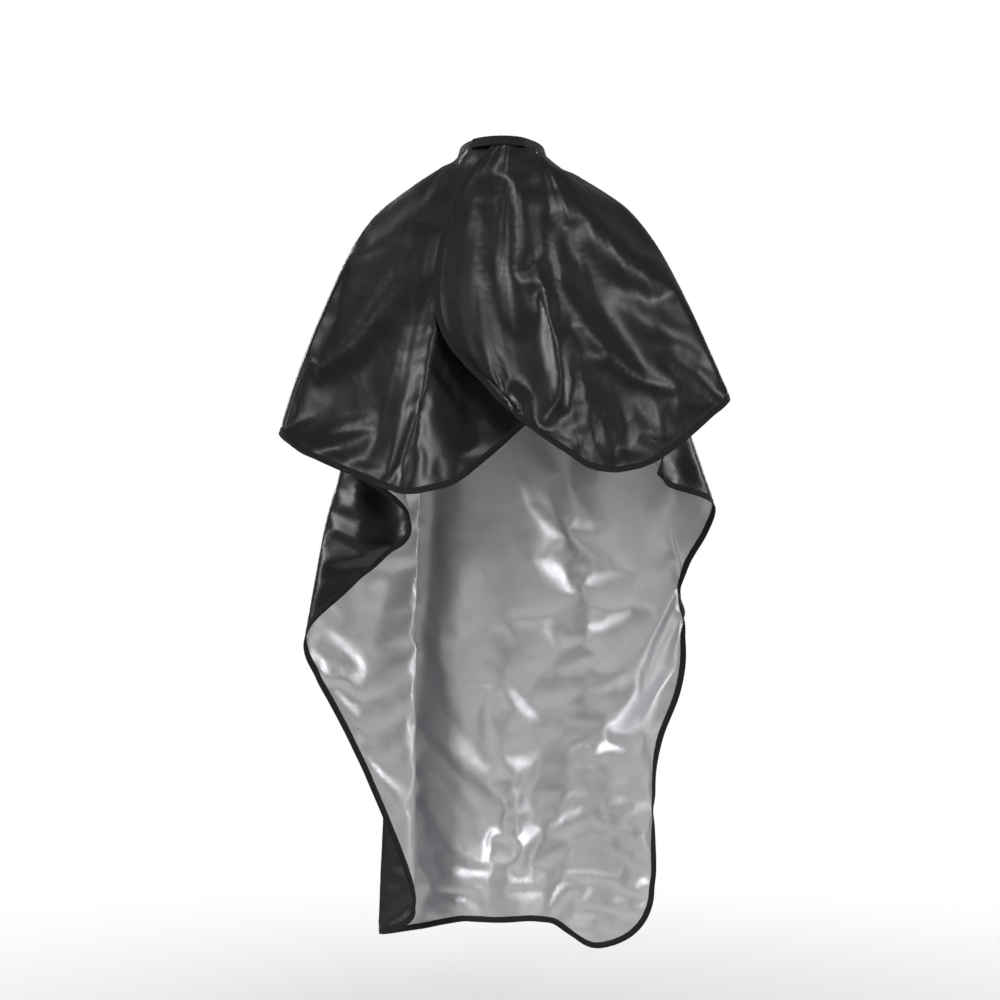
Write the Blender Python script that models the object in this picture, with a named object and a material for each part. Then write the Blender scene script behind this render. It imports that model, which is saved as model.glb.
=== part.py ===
"""Barber cape: coated cloth with bound edges, a neckband and a hook-and-loop closure tab.

Origin at the centre of the neck opening, +Z up, +Y the way the wearer faces, +X to the wearer's right
side as seen from behind. Metres. The cape hangs as it does on a slim dress form.
"""

import math

import bpy
from mathutils import Vector

MM = 0.001

# Neck opening: a tilted ring, higher at the nape than at the throat.
NECK_RADIUS = 62.0 * MM
NECK_TILT = 12.0 * MM
BAND_HEIGHT = 14.0 * MM
BAND_THICK = 2.4 * MM
TAPE_THICK = 1.0 * MM
GAP = 0.3 * MM

# Cloth and the binding tape folded over its edge.
CLOTH_THICK = 3.0 * MM
BINDING_THICK = 3.6 * MM
BINDING_WIDTH = 9.0 * MM
EDGE_GAP = 1.5 * MM
TAPE_TOP_GAP = 8.0 * MM
TAPE_LOW_GAP = 14.0 * MM

# Angles round the neck, in degrees from the nape, positive to the right.
HINGE_ANGLE = 45.0
LEFT_END_ANGLE = 14.0
TAB_ROOT_ANGLE = -12.0
TAB_TIP_ANGLE = -42.0
OVERLAP_OUT = BAND_THICK + 2 * TAPE_THICK + 3 * GAP
OVERLAP_LEAD = 6.0
TAPE_MARGIN = 1.5 * MM
HOOK_TIP_MARGIN = 1.0
TAPE_END_MARGIN = 2.5
LOOP_END_ANGLE = 2.0

# Clear strip on each side of a back half's hinge line, and of the tab's, so that they open freely.
HINGE_CLEAR = 3.2 * MM
TAB_CLEAR = 2.0 * MM

# Smoothness of the surfaces: stations down the cloth, and steps between two neighbouring spokes.
DROP_STEPS = 12
FOLD_STEPS = 3

# Each spoke runs from the neckband down to the hem. It is listed as the angle where it leaves the neck,
# and then its points down the cloth to the hem, in millimetres. The two straight ones are the hinge lines of
# the back halves. They have a hem point only, and start at the top outer edge of the neckband.
STRAIGHT_SHARES = (0.15, 0.38, 0.67, 1.0)
LEFT_HINGE = (-45, [(-135, -225, -490)])
RIGHT_HINGE = (45, [(134, -225, -459)])

LEFT_HALF = [
    (12, [(28, -88, -68), (40, -110, -160), (48, -132, -265), (55, -152, -372)]),
    (-10, [(-10, -90, -72), (-16, -120, -180), (-30, -152, -320), (-50, -180, -465)]),
    (-28, [(-36, -85, -72), (-50, -122, -190), (-72, -165, -335), (-95, -205, -484)]),
    LEFT_HINGE,
]

BODY = [
    LEFT_HINGE,
    (-62, [(-95, -62, -58), (-128, -110, -180), (-158, -160, -325), (-185, -208, -472)]),
    (-78, [(-150, -30, -55), (-202, -72, -150), (-250, -138, -280), (-282, -202, -432)]),
    (-90, [(-156, -8, -46), (-208, -26, -94), (-260, -98, -236), (-308, -168, -402)]),
    (-98, [(-150, 14, -66), (-188, 15, -170), (-222, -15, -305), (-250, -62, -440)]),
    (-106, [(-140, 35, -80), (-165, 45, -210), (-155, 50, -370), (-128, 45, -520)]),
    (-113, [(-136, 50, -85), (-185, 60, -230), (-215, 62, -430), (-215, 58, -618)]),
    (-119, [(-131, 60, -87), (-196, 72, -250), (-248, 76, -462), (-287, 66, -680)]),
    (-125, [(-124, 72, -89), (-192, 90, -275), (-244, 98, -505), (-284, 92, -745)]),
    (-131, [(-115, 82, -92), (-165, 108, -320), (-200, 118, -600), (-215, 112, -880)]),
    (-139, [(-102, 95, -95), (-125, 128, -370), (-128, 142, -740), (-130, 138, -1105)]),
    (-147, [(-90, 104, -98), (-128, 150, -370), (-168, 172, -750), (-190, 178, -1150)]),
    (-157, [(-68, 116, -102), (-100, 168, -370), (-125, 200, -750), (-130, 210, -1150)]),
    (-168, [(-35, 124, -106), (-50, 150, -370), (-60, 172, -740), (-62, 180, -1135)]),
    (180, [(0, 127, -108), (0, 140, -370), (0, 150, -740), (0, 150, -1130)]),
    (168, [(35, 124, -106), (50, 152, -370), (62, 175, -740), (70, 180, -1135)]),
    (155, [(70, 115, -102), (100, 155, -380), (130, 172, -770), (145, 165, -1175)]),
    (143, [(98, 100, -96), (145, 135, -370), (190, 145, -720), (224, 138, -1110)]),
    (132, [(120, 82, -90), (175, 112, -320), (216, 120, -600), (229, 112, -890)]),
    (127, [(130, 72, -87), (186, 101, -295), (230, 108, -535), (266, 102, -780)]),
    (122, [(138, 62, -84), (195, 88, -270), (240, 95, -480), (276, 95, -708)]),
    (118, [(144, 54, -80), (202, 76, -244), (248, 82, -425), (270, 86, -604)]),
    (115, [(148, 48, -77), (208, 64, -218), (262, 72, -375), (305, 74, -540)]),
    (109, [(156, 36, -66), (214, 46, -198), (265, 46, -342), (308, 46, -496)]),
    (103, [(158, 22, -56), (196, 26, -165), (216, 20, -305), (222, 10, -455)]),
    (92, [(158, -5, -40), (204, -18, -84), (250, -70, -205), (280, -125, -375)]),
    (78, [(154, -26, -40), (208, -60, -98), (266, -128, -228), (314, -195, -360)]),
    (62, [(98, -62, -52), (142, -112, -165), (180, -165, -300), (212, -212, -445)]),
    RIGHT_HINGE,
]

RIGHT_HALF = [
    RIGHT_HINGE,
    (30, [(40, -90, -68), (54, -134, -178), (72, -184, -302), (88, -220, -434)]),
    (10, [(12, -100, -68), (18, -142, -178), (26, -180, -288), (38, -210, -400)]),
    (-2, [(-28, -100, -66), (-48, -138, -170), (-36, -172, -275), (10, -207, -380)]),
    (-10, [(-60, -94, -62), (-92, -130, -172), (-82, -164, -270), (-12, -205, -368)]),
]


def empty_scene():
    """Removes the scene's objects."""
    for item in list(bpy.data.objects):
        bpy.data.objects.remove(item)


def finish(name, color, roughness, metallic=0.0):
    """Gives a Principled material of one colour."""
    material = bpy.data.materials.new(name)
    material.use_nodes = True
    shader = material.node_tree.nodes["Principled BSDF"]
    shader.inputs["Base Color"].default_value = (*color, 1.0)
    shader.inputs["Roughness"].default_value = roughness
    shader.inputs["Metallic"].default_value = metallic
    return material


def cloth_finish():
    """Black coated taffeta."""
    return finish("coated_taffeta", (0.018, 0.018, 0.022), 0.32)


def binding_finish():
    """Black woven binding tape."""
    return finish("binding_tape", (0.01, 0.01, 0.011), 0.6)


def closure_finish():
    """Black hook-and-loop tape."""
    return finish("closure_tape", (0.014, 0.014, 0.015), 0.9)


def add_object(name, points, faces, material):
    """Makes a mesh object from points in metres, shaded smooth but for its sharp edges."""
    mesh = bpy.data.meshes.new(name)
    mesh.from_pydata(points, [], faces)
    mesh.materials.append(material)
    mesh.shade_smooth()
    mesh.set_sharp_from_angle(angle=math.radians(40))
    item = bpy.data.objects.new(name, mesh)
    bpy.context.scene.collection.objects.link(item)
    return item


def neck_point(angle, out=0.0, height=0.0):
    """A point on the neck ring, moved outwards and up by the distances given."""
    turn = math.radians(angle)
    radius = NECK_RADIUS + out
    return Vector((radius * math.sin(turn), -radius * math.cos(turn), NECK_TILT * math.cos(turn) + height))


def overlap_out(angle):
    """How far the right end of the neck stands off the left one: none at the hinge, full at the overlap."""
    share = (HINGE_ANGLE - angle) / (HINGE_ANGLE - LEFT_END_ANGLE - OVERLAP_LEAD)
    share = min(max(share, 0.0), 1.0)
    return OVERLAP_OUT * share * share * (3 - 2 * share)


def smooth_curve(points, place):
    """The point at a place from 0 to 1 on a smooth curve through evenly spaced points."""
    last = len(points) - 1
    spot = min(max(place, 0.0), 1.0) * last
    index = min(int(spot), last - 1)
    part = spot - index
    before = points[index - 1] if index > 0 else points[0] * 2 - points[1]
    after = points[index + 2] if index + 2 <= last else points[last] * 2 - points[last - 1]
    start, end = points[index], points[index + 1]
    ease_in = (end - before) * 0.5
    ease_out = (after - start) * 0.5
    square, cube = part * part, part * part * part
    return (
        start * (2 * cube - 3 * square + 1)
        + ease_in * (cube - 2 * square + part)
        + end * (3 * square - 2 * cube)
        + ease_out * (cube - square)
    )


def hinge_top(angle):
    """Where a back half's hinge line passes the top outer edge of the neckband."""
    return neck_point(angle, BAND_THICK / 2, BAND_HEIGHT / 2)


def spoke_points(spoke, on_right_end):
    """A spoke's points in metres, from the underside of the neckband to the hem."""
    angle, listed = spoke
    drop = -(BAND_HEIGHT + CLOTH_THICK) / 2 - GAP
    low = [Vector(point) * MM for point in listed]
    if len(low) > 1:
        return [neck_point(angle, overlap_out(angle) if on_right_end else 0.0, drop)] + low
    start, hem = hinge_top(angle), low[0]
    top = start.lerp(hem, (drop - BAND_HEIGHT / 2) / (hem.z - start.z))
    return [top] + [top.lerp(hem, share) for share in STRAIGHT_SHARES]


def cloth_grid(spokes, on_right_end=False):
    """Rows of points over a stretch of cloth: one row per fold step, each from neck to hem."""
    strips = [spoke_points(spoke, on_right_end) for spoke in spokes]
    columns = []
    for drop in range(DROP_STEPS + 1):
        level = [smooth_curve(strip, drop / DROP_STEPS) for strip in strips]
        count = (len(spokes) - 1) * FOLD_STEPS
        columns.append([smooth_curve(level, step / count) for step in range(count + 1)])
    return [[column[row] for column in columns] for row in range(len(columns[0]))]


def shortened(row, from_start, from_end):
    """The same number of points along a row's own path, after cutting a length off each end."""
    lengths = [0.0]
    for first, second in zip(row, row[1:]):
        lengths.append(lengths[-1] + (second - first).length)
    keep = (lengths[-1] - from_start - from_end) / lengths[-1]
    return [point_along(row, lengths, from_start + keep * length) for length in lengths]


def point_along(row, lengths, distance):
    """The point at a distance along a row of points."""
    index = 0
    while index < len(row) - 2 and lengths[index + 1] < distance:
        index += 1
    part = (distance - lengths[index]) / (lengths[index + 1] - lengths[index])
    return row[index].lerp(row[index + 1], part)


def across(rows):
    """The same grid of points, with rows and columns exchanged."""
    return [list(column) for column in zip(*rows)]


def thick_sheet(name, rows, thick, material):
    """A closed solid of even thickness about a grid of points."""
    points = [point for row in rows for point in row]
    wide = len(rows[0])
    faces = [
        (r * wide + c, r * wide + c + 1, (r + 1) * wide + c + 1, (r + 1) * wide + c)
        for r in range(len(rows) - 1)
        for c in range(wide - 1)
    ]
    item = add_object(name, points, faces, material)
    solid = item.modifiers.new("thickness", "SOLIDIFY")
    solid.thickness = thick
    solid.offset = 0.0
    return item


def cut_rows(spokes, on_right_end):
    """Rows of cloth that stop short of the hem by the width of the binding tape."""
    return [shortened(row, 0, BINDING_WIDTH + EDGE_GAP) for row in cloth_grid(spokes, on_right_end)]


def tape_beside(rows):
    """The two edges of a tape beyond the last point of each row, square to the cloth's edge."""
    edge = [row[-1] for row in rows]
    pairs = []
    for index, row in enumerate(rows):
        along = (edge[min(index + 1, len(edge) - 1)] - edge[max(index - 1, 0)]).normalized()
        onward = (row[-1] - row[-2]).normalized()
        square = (onward - along * onward.dot(along)).normalized()
        pairs.append([row[-1] + square * EDGE_GAP, row[-1] + square * (EDGE_GAP + BINDING_WIDTH)])
    return pairs


def trimmed_cloth(name, spokes, on_right_end, trim_first, trim_last, material):
    """A stretch of cloth, shortened where binding tape takes its edge or where it meets the next stretch."""
    columns = across(cut_rows(spokes, on_right_end))
    columns = [shortened(column, trim_first, trim_last) for column in columns]
    return thick_sheet(name, across(columns), CLOTH_THICK, material)


def hem_binding(name, spokes, on_right_end, trim_first, trim_last, material):
    """Binding tape along the hem of a stretch of cloth."""
    edges = across(tape_beside(cut_rows(spokes, on_right_end)))
    edges = [shortened(side, trim_first, trim_last) for side in edges]
    return thick_sheet(name, across(edges), BINDING_THICK, material)


def slit_binding(name, spokes, on_right_end, free_first, material):
    """Binding tape along the free edge of a back half, down to where the hem's binding starts."""
    columns = across(cut_rows(spokes, on_right_end))
    if free_first:
        columns = [column[::-1] for column in columns]
    columns = [shortened(column, 0, BINDING_WIDTH + EDGE_GAP) for column in columns]
    edges = [shortened(side, TAPE_TOP_GAP, TAPE_LOW_GAP) for side in across(tape_beside(columns))]
    return thick_sheet(name, across(edges), BINDING_THICK, material)


def band_arc(name, start, end, thick, low, high, out_at, material):
    """A curved strip standing on the neck ring between two angles."""
    steps = max(4, round(abs(end - start) / 6))
    rows = []
    for step in range(steps + 1):
        angle = start + (end - start) * step / steps
        rows.append([neck_point(angle, out_at(angle), low), neck_point(angle, out_at(angle), high)])
    return thick_sheet(name, rows, thick, material)


def build_cloth():
    """The three stretches of cloth, with a narrow gap where the two back halves join the body."""
    cloth = cloth_finish()
    trimmed_cloth("cape_body", BODY, False, HINGE_CLEAR, HINGE_CLEAR, cloth)
    trimmed_cloth("back_half_left", LEFT_HALF, False, BINDING_WIDTH + EDGE_GAP, HINGE_CLEAR, cloth)
    trimmed_cloth("back_half_right", RIGHT_HALF, True, HINGE_CLEAR, BINDING_WIDTH + EDGE_GAP, cloth)


def build_bindings():
    """Binding tape round every free edge of the cloth."""
    tape = binding_finish()
    hem_binding("binding_body", BODY, False, HINGE_CLEAR, HINGE_CLEAR, tape)
    hem_binding("binding_left_hem", LEFT_HALF, False, 0, HINGE_CLEAR, tape)
    hem_binding("binding_right_hem", RIGHT_HALF, True, HINGE_CLEAR, 0, tape)
    slit_binding("binding_left_slit", LEFT_HALF, False, True, tape)
    slit_binding("binding_right_slit", RIGHT_HALF, True, False, tape)


def on_ring(angle):
    """The left end and the body's length of the band lie on the neck ring."""
    return 0.0


def tab_out(angle):
    """The tab stands clear of the left end, with the two tapes between."""
    return OVERLAP_OUT


def loop_out(angle):
    """The loop tape lies on the outside of the left end."""
    return (BAND_THICK + TAPE_THICK) / 2 + GAP


def hook_out(angle):
    """The hook tape lies on the inside of the tab."""
    return OVERLAP_OUT - (BAND_THICK + TAPE_THICK) / 2 - GAP


def build_band():
    """The neckband in three lengths, and the closure tab that carries it on round the neck."""
    band = binding_finish()
    half = BAND_HEIGHT / 2
    gap_angle = math.degrees((BAND_THICK + GAP) / 2 / NECK_RADIUS)
    tab_gap = math.degrees(TAB_CLEAR / NECK_RADIUS)
    right_join, left_join = HINGE_ANGLE + gap_angle, 360 - HINGE_ANGLE - gap_angle
    right_start, right_end = TAB_ROOT_ANGLE + tab_gap, HINGE_ANGLE - gap_angle
    left_start, tab_end = -HINGE_ANGLE + gap_angle, TAB_ROOT_ANGLE - tab_gap
    band_arc("neckband", right_join, left_join, BAND_THICK, -half, half, on_ring, band)
    band_arc("neckband_left", left_start, LEFT_END_ANGLE, BAND_THICK, -half, half, on_ring, band)
    band_arc("neckband_right", right_start, right_end, BAND_THICK, -half, half, overlap_out, band)
    band_arc("closure_tab", TAB_TIP_ANGLE, tab_end, BAND_THICK, -half, half, tab_out, band)


def build_closure():
    """Hook tape inside the tab and loop tape outside the left end."""
    tape = closure_finish()
    half = BAND_HEIGHT / 2 - TAPE_MARGIN
    hook_start, hook_end = TAB_TIP_ANGLE + HOOK_TIP_MARGIN, TAB_ROOT_ANGLE - TAPE_END_MARGIN
    loop_start, loop_end = -HINGE_ANGLE + TAPE_END_MARGIN, LOOP_END_ANGLE
    band_arc("hook_strip", hook_start, hook_end, TAPE_THICK, -half, half, hook_out, tape)
    band_arc("loop_strip", loop_start, loop_end, TAPE_THICK, -half, half, loop_out, tape)


empty_scene()
build_cloth()
build_bindings()
build_band()
build_closure()
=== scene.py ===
import math

import bpy
import bmesh
import numpy as np
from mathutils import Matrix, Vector
from mathutils.geometry import delaunay_2d_cdt
from mathutils.kdtree import KDTree


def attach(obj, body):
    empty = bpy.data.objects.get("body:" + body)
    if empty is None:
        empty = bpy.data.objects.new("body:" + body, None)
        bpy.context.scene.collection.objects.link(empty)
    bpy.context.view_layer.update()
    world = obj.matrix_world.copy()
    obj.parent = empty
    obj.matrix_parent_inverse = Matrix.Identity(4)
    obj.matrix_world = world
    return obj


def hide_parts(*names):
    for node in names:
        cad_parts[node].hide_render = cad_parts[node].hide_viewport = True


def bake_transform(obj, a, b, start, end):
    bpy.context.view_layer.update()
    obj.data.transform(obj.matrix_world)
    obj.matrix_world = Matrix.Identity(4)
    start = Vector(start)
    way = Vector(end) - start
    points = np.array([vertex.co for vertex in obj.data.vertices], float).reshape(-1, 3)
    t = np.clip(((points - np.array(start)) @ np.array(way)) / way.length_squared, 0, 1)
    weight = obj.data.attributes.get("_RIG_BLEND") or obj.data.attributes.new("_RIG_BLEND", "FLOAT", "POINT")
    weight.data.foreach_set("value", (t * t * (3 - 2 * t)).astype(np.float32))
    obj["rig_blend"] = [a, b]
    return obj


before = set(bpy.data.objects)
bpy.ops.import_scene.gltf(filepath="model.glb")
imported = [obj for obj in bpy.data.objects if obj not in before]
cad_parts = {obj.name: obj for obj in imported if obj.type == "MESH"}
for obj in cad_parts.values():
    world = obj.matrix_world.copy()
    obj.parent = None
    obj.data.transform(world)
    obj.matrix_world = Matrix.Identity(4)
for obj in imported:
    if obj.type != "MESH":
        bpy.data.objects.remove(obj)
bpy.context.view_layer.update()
scene = bpy.context.scene
mm = 0.001


# Camera, floor and light

view = {
    "distance": 3.6,
    "aimHeight": -0.500,
    "aimAcross": -0.003,
    "widthSeen": 1.45,          # metres across the frame at the cape
    "sensor": 36.0,
}


def addCamera():
    data = bpy.data.cameras.new("camera")
    data.sensor_width = view["sensor"]
    data.lens = view["sensor"] * view["distance"] / view["widthSeen"]
    camera = bpy.data.objects.new("camera", data)
    camera.location = (view["aimAcross"], -view["distance"], view["aimHeight"])
    camera.rotation_euler = (math.pi / 2, 0, 0)
    scene.collection.objects.link(camera)
    scene.camera = camera


addCamera()
print("camera set")


# Node trees

# A shader socket that does sums
class Wire:
    def __init__(self, tree, socket):
        self.tree = tree
        self.socket = socket

    def sum(self, kind, other, flip=False):
        values = [other, self] if flip else [self, other]
        return self.tree.node("ShaderNodeMath", {"operation": kind}, values)

    def __add__(self, other):
        return self.sum("ADD", other)

    def __radd__(self, other):
        return self.sum("ADD", other, True)

    def __mul__(self, other):
        return self.sum("MULTIPLY", other)

    def __rmul__(self, other):
        return self.sum("MULTIPLY", other, True)


# A material and the one way its nodes are added
class Finish:
    def __init__(self, name):
        self.material = bpy.data.materials.new(name)
        self.material.use_nodes = True
        self.tree = self.material.node_tree
        self.shader = self.tree.nodes["Principled BSDF"]

    def node(self, kind, settings=None, values=(), out=0):
        node = self.tree.nodes.new(kind)
        for key, value in (settings or {}).items():
            setattr(node, key, value)
        pairs = values.items() if isinstance(values, dict) else enumerate(values)
        for key, value in pairs:
            self.set(node.inputs[key], value)
        return Wire(self, node.outputs[out])

    def set(self, socket, value):
        if isinstance(value, Wire):
            self.tree.links.new(value.socket, socket)
        else:
            socket.default_value = value

    def shade(self, **values):
        for key, value in values.items():
            self.set(self.shader.inputs[key.replace("_", " ")], value)
        return self.material


# The drape: spokes from the neckband down to the hem, in millimetres

neck = {
    "radius": 62.0,
    "tilt": 12.0,
    "height": 14.0,
    "clothDrop": 4.5,       # the cloth's top edge, below the band's middle
    "overlapOut": 5.3,
    "hinge": 45.0,          # angle of the two back hinge lines
    "lead": 25.0,           # angle over which the right end comes out over the left one
    "bandFace": 1.2,
}

# angle round the neck from the nape, then points down the cloth; a hinge line has its hem point only
leftHalf = [
    (12, [(28, -88, -68), (40, -110, -160), (48, -132, -265), (55, -152, -372)]),
    (-10, [(-10, -90, -72), (-16, -120, -180), (-30, -152, -320), (-50, -180, -465)]),
    (-28, [(-36, -85, -72), (-50, -122, -190), (-72, -165, -335), (-95, -205, -484)]),
]
leftHinge = (-45, [(-135, -225, -490)])
bodySpokes = [
    (-62, [(-95, -62, -58), (-128, -110, -180), (-158, -160, -325), (-185, -208, -472)]),
    (-78, [(-150, -30, -55), (-202, -72, -150), (-250, -138, -280), (-282, -202, -432)]),
    (-90, [(-156, -8, -46), (-208, -26, -94), (-260, -98, -236), (-308, -168, -402)]),
    (-98, [(-150, 14, -66), (-188, 15, -170), (-222, -15, -305), (-250, -62, -440)]),
    (-106, [(-140, 35, -80), (-165, 45, -210), (-155, 50, -370), (-128, 45, -520)]),
    (-113, [(-136, 50, -85), (-185, 60, -230), (-215, 62, -430), (-215, 58, -618)]),
    (-119, [(-131, 60, -87), (-196, 72, -250), (-248, 76, -462), (-287, 66, -680)]),
    (-125, [(-124, 72, -89), (-192, 90, -275), (-244, 98, -505), (-284, 92, -745)]),
    (-131, [(-115, 82, -92), (-165, 108, -320), (-200, 118, -600), (-215, 112, -880)]),
    (-139, [(-102, 95, -95), (-125, 128, -370), (-128, 142, -740), (-130, 138, -1105)]),
    (-147, [(-90, 104, -98), (-128, 150, -370), (-168, 172, -750), (-190, 178, -1150)]),
    (-157, [(-68, 116, -102), (-100, 168, -370), (-125, 200, -750), (-130, 210, -1150)]),
    (-168, [(-35, 124, -106), (-50, 150, -370), (-60, 172, -740), (-62, 180, -1135)]),
    (180, [(0, 127, -108), (0, 140, -370), (0, 150, -740), (0, 150, -1130)]),
    (168, [(35, 124, -106), (50, 152, -370), (62, 175, -740), (70, 180, -1135)]),
    (155, [(70, 115, -102), (100, 155, -380), (130, 172, -770), (145, 165, -1175)]),
    (143, [(98, 100, -96), (145, 135, -370), (190, 145, -720), (224, 138, -1110)]),
    (132, [(120, 82, -90), (175, 112, -320), (216, 120, -600), (229, 112, -890)]),
    (127, [(130, 72, -87), (186, 101, -295), (230, 108, -535), (266, 102, -780)]),
    (122, [(138, 62, -84), (195, 88, -270), (240, 95, -480), (276, 95, -708)]),
    (118, [(144, 54, -80), (202, 76, -244), (248, 82, -425), (270, 86, -604)]),
    (115, [(148, 48, -77), (208, 64, -218), (262, 72, -375), (305, 74, -540)]),
    (109, [(156, 36, -66), (214, 46, -198), (265, 46, -342), (308, 46, -496)]),
    (103, [(158, 22, -56), (196, 26, -165), (216, 20, -305), (222, 10, -455)]),
    (92, [(158, -5, -40), (204, -18, -84), (250, -70, -205), (280, -125, -375)]),
    (78, [(154, -26, -40), (208, -60, -98), (266, -128, -228), (314, -195, -360)]),
    (62, [(98, -62, -52), (142, -112, -165), (180, -165, -300), (212, -212, -445)]),
]
rightHinge = (45, [(134, -225, -459)])
rightHalf = [
    (30, [(40, -90, -68), (54, -134, -178), (72, -184, -302), (88, -220, -434)]),
    (10, [(12, -100, -68), (18, -142, -178), (26, -180, -288), (38, -210, -400)]),
    (-2, [(-28, -100, -66), (-48, -138, -170), (-36, -172, -275), (10, -207, -380)]),
    (-10, [(-60, -94, -62), (-92, -130, -172), (-82, -164, -270), (-12, -205, -368)]),
]
spokes = leftHalf + [leftHinge] + bodySpokes + [rightHinge] + rightHalf
leftHingeAt = len(leftHalf)
rightHingeAt = len(spokes) - 1 - len(rightHalf)
frontAt = [angle for angle, _ in spokes].index(180)

sheet = {
    "step": 0.0125,         # edge length of the cloth's mesh
    "ring": 0.070,          # neck radius of the flat cut
    "levels": 60,
    "fineLevels": 200,
    "ringFiner": 2.5,       # how much closer the points are at the neckband
    "finerWithin": 0.16,    # radius inside which they come closer
    "outlinePoints": 900,
}


def neckPoint(angle, out=0.0, height=0.0):
    turn = math.radians(angle)
    radius = neck["radius"] + out
    rise = neck["tilt"] * math.cos(turn) + height
    return np.array([radius * math.sin(turn), -radius * math.cos(turn), rise])


# How far the right end of the band stands off the left one
def standOff(angle):
    share = min(max((neck["hinge"] - angle) / neck["lead"], 0.0), 1.0)
    return neck["overlapOut"] * share * share * (3 - 2 * share)


# The smooth curve from b to c at share t, with a before and d after them
def smoothPart(a, b, c, d, t):
    square = 2 * a - 5 * b + 4 * c - d
    cube = 3 * b - a - 3 * c + d
    return 0.5 * (2 * b + (c - a) * t + square * t ** 2 + cube * t ** 3)


# A row of points with one more at each end, in line with the last two
def extended(points):
    return np.concatenate([[2 * points[0] - points[1]], points, [2 * points[-1] - points[-2]]])


# Lengths along a line of points, from its start
def lengthsAlong(points):
    return np.concatenate([[0], np.cumsum(np.linalg.norm(np.diff(points, axis=0), axis=1))])


# Each column of a table read at new places
def readAt(places, known, table):
    return np.stack([np.interp(places, known, column) for column in np.asarray(table).T], 1)


# Points at the places, 0 to 1, on a smooth curve through evenly spaced points
def smoothThrough(points, places):
    points = np.asarray(points, float)
    last = len(points) - 1
    padded = extended(points)
    spot = np.clip(places, 0, 1) * last
    index = np.minimum(spot.astype(int), last - 1)
    t = (spot - index)[:, None]
    return smoothPart(*(padded[index + k] for k in range(4)), t)


# A spoke's points at even lengths, in metres, and its length
def evenSpoke(number):
    angle, listed = spokes[number]
    onRight = number >= rightHingeAt
    if len(listed) == 1:
        top = neckPoint(angle, neck["bandFace"], neck["height"] / 2)
        hem = np.array(listed[0], float)
        start = top + (hem - top) * (neck["clothDrop"] + neck["height"] / 2) / (top[2] - hem[2])
        listed = [start + (hem - start) * share for share in (0.25, 0.5, 0.75, 1.0)]
        points = [start] + listed
    else:
        out = standOff(angle) if onRight else 0.0
        points = [neckPoint(angle, out, -neck["clothDrop"])] + [np.array(p, float) for p in listed]
    fine = smoothThrough(points, np.linspace(0, 1, sheet["fineLevels"])) * mm
    lengths = lengthsAlong(fine)
    even = np.linspace(0, lengths[-1], sheet["levels"] + 1)
    return readAt(even, lengths, fine), lengths[-1]


spokeLines, spokeLengths = zip(*[evenSpoke(number) for number in range(len(spokes))])
spokeLines = np.array(spokeLines)
spokeLengths = np.array(spokeLengths)


# The cloth's place at a spoke number, which may lie between two, and a share of the way down
def drapePoint(along, down):
    last = len(spokes) - 1
    padded = extended(spokeLines)
    index = np.clip(along.astype(int), 0, last - 1)
    t = (along - index)[:, None]
    spot = np.clip(down, 0, 1) * sheet["levels"]
    low = np.minimum(spot.astype(int), sheet["levels"] - 1)
    part = (spot - low)[:, None]
    four = [padded[index + k, low] * (1 - part) + padded[index + k, low + 1] * part for k in range(4)]
    return smoothPart(*four, t)


# The angle of each spoke in the flat cut, which keeps the cloth's width between two spokes
def flatAngles():
    shares = np.linspace(0.15, 1, 18)
    angles = [0.0]
    for number in range(len(spokes) - 1):
        steps = np.array([drapePoint(np.full(len(shares), number + k / 6), shares) for k in range(7)])
        widths = np.linalg.norm(np.diff(steps, axis=0), axis=2).sum(0)
        slant = shares * (spokeLengths[number + 1] - spokeLengths[number])
        widths = np.sqrt(np.maximum(widths ** 2 - slant ** 2, (0.3 * widths) ** 2))
        radii = sheet["ring"] + shares * (spokeLengths[number] + spokeLengths[number + 1]) / 2
        angles.append(angles[-1] + float(widths.sum() / radii.sum()))
    return np.array(angles) - angles[frontAt]


spokeAngles = flatAngles()


def lengthAt(along):
    return smoothThrough(spokeLengths[:, None], along / (len(spokes) - 1))[:, 0]


# The place in the flat cut of a spoke number and a share of the way down
def flatPoint(along, down):
    angle = np.interp(along, np.arange(len(spokes)), spokeAngles)
    radius = sheet["ring"] + lengthAt(along) * down
    return np.stack([radius * np.sin(angle), radius * np.cos(angle)], 1)


# Points a step apart along a line of flat points
def evenly(points, step):
    lengths = lengthsAlong(points)
    count = max(2, round(lengths[-1] / step))
    return readAt(np.linspace(0, lengths[-1], count + 1), lengths, points)


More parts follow.
